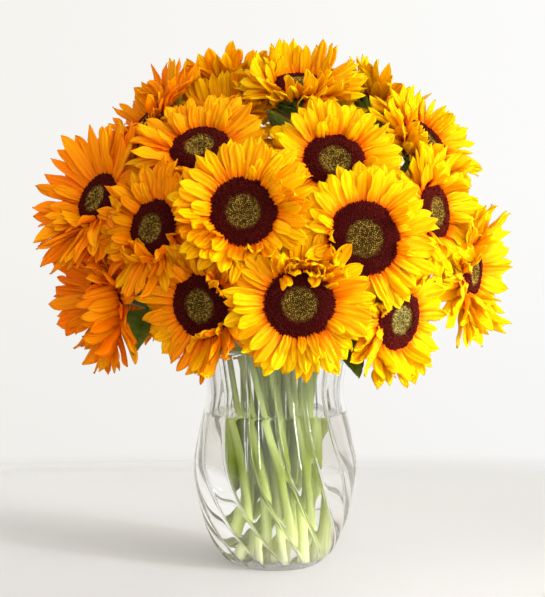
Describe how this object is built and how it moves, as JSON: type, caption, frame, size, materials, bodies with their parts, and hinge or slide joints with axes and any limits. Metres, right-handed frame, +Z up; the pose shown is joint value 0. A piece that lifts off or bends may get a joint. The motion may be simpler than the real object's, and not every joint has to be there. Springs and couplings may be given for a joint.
{
  "type": "sunflowers in a vase",
  "caption": "Round hand-tied bunch of cut sunflowers standing in water in a clear glass vase with swirled flutes.",
  "frame": {"origin": "centre of the vase's flat underside", "axes": "+Z up out of the vase, -Y towards the bouquet's front"},
  "size_m": [0.4313, 0.3255, 0.4692],
  "materials": {
    "glass": "clear pressed glass, swirled flutes, polished",
    "water": "clear still water",
    "stem": "fresh pale green stem, fine ribs and short bristles",
    "petal": "satin golden yellow ray petal, deep orange at the root, lengthwise creases",
    "floret": "matt maroon florets round an olive gold centre",
    "calyx": "matt green bracts with fine hairs",
    "leaf": "rough dark green leaf with a pale midrib"
  },
  "bodies": {
    "root": {"vase": "glass", "water": "water", "stem_01": "stem", "bloom_01": "petal", "stem_02": "stem", "bloom_02": "petal", "stem_03": "stem", "bloom_03": "petal", "stem_04": "stem", "bloom_04": "petal", "stem_05": "stem", "bloom_05": "petal", "stem_06": "stem", "bloom_06": "petal", "stem_07": "stem", "bloom_07": "petal", "stem_08": "stem", "bloom_08": "petal", "stem_09": "stem", "bloom_09": "petal", "stem_10": "stem", "bloom_10": "petal", "stem_11": "stem", "bloom_11": "petal", "stem_12": "stem", "bloom_12": "petal", "stem_13": "stem", "bloom_13": "petal", "stem_14": "stem", "bloom_14": "petal", "stem_15": "stem", "bloom_15": "petal", "stem_16": "stem", "bloom_16": "petal", "stem_17": "stem", "bloom_17": "petal", "stem_18": "stem", "bloom_18": "petal", "stem_19": "stem", "bloom_19": "petal", "stem_20": "stem", "bloom_20": "petal", "stem_21": "stem", "bloom_21": "petal", "stem_22": "stem", "bloom_22": "petal", "stem_23": "stem", "bloom_23": "petal", "stem_24": "stem", "bloom_24": "petal", "stem_25": "stem", "bloom_25": "petal", "stem_26": "stem", "bloom_26": "petal", "stem_27": "stem", "bloom_27": "petal", "leaf_01": "leaf", "leaf_02": "leaf", "leaf_03": "leaf", "leaf_04": "leaf"}
  },
  "joints": []
}
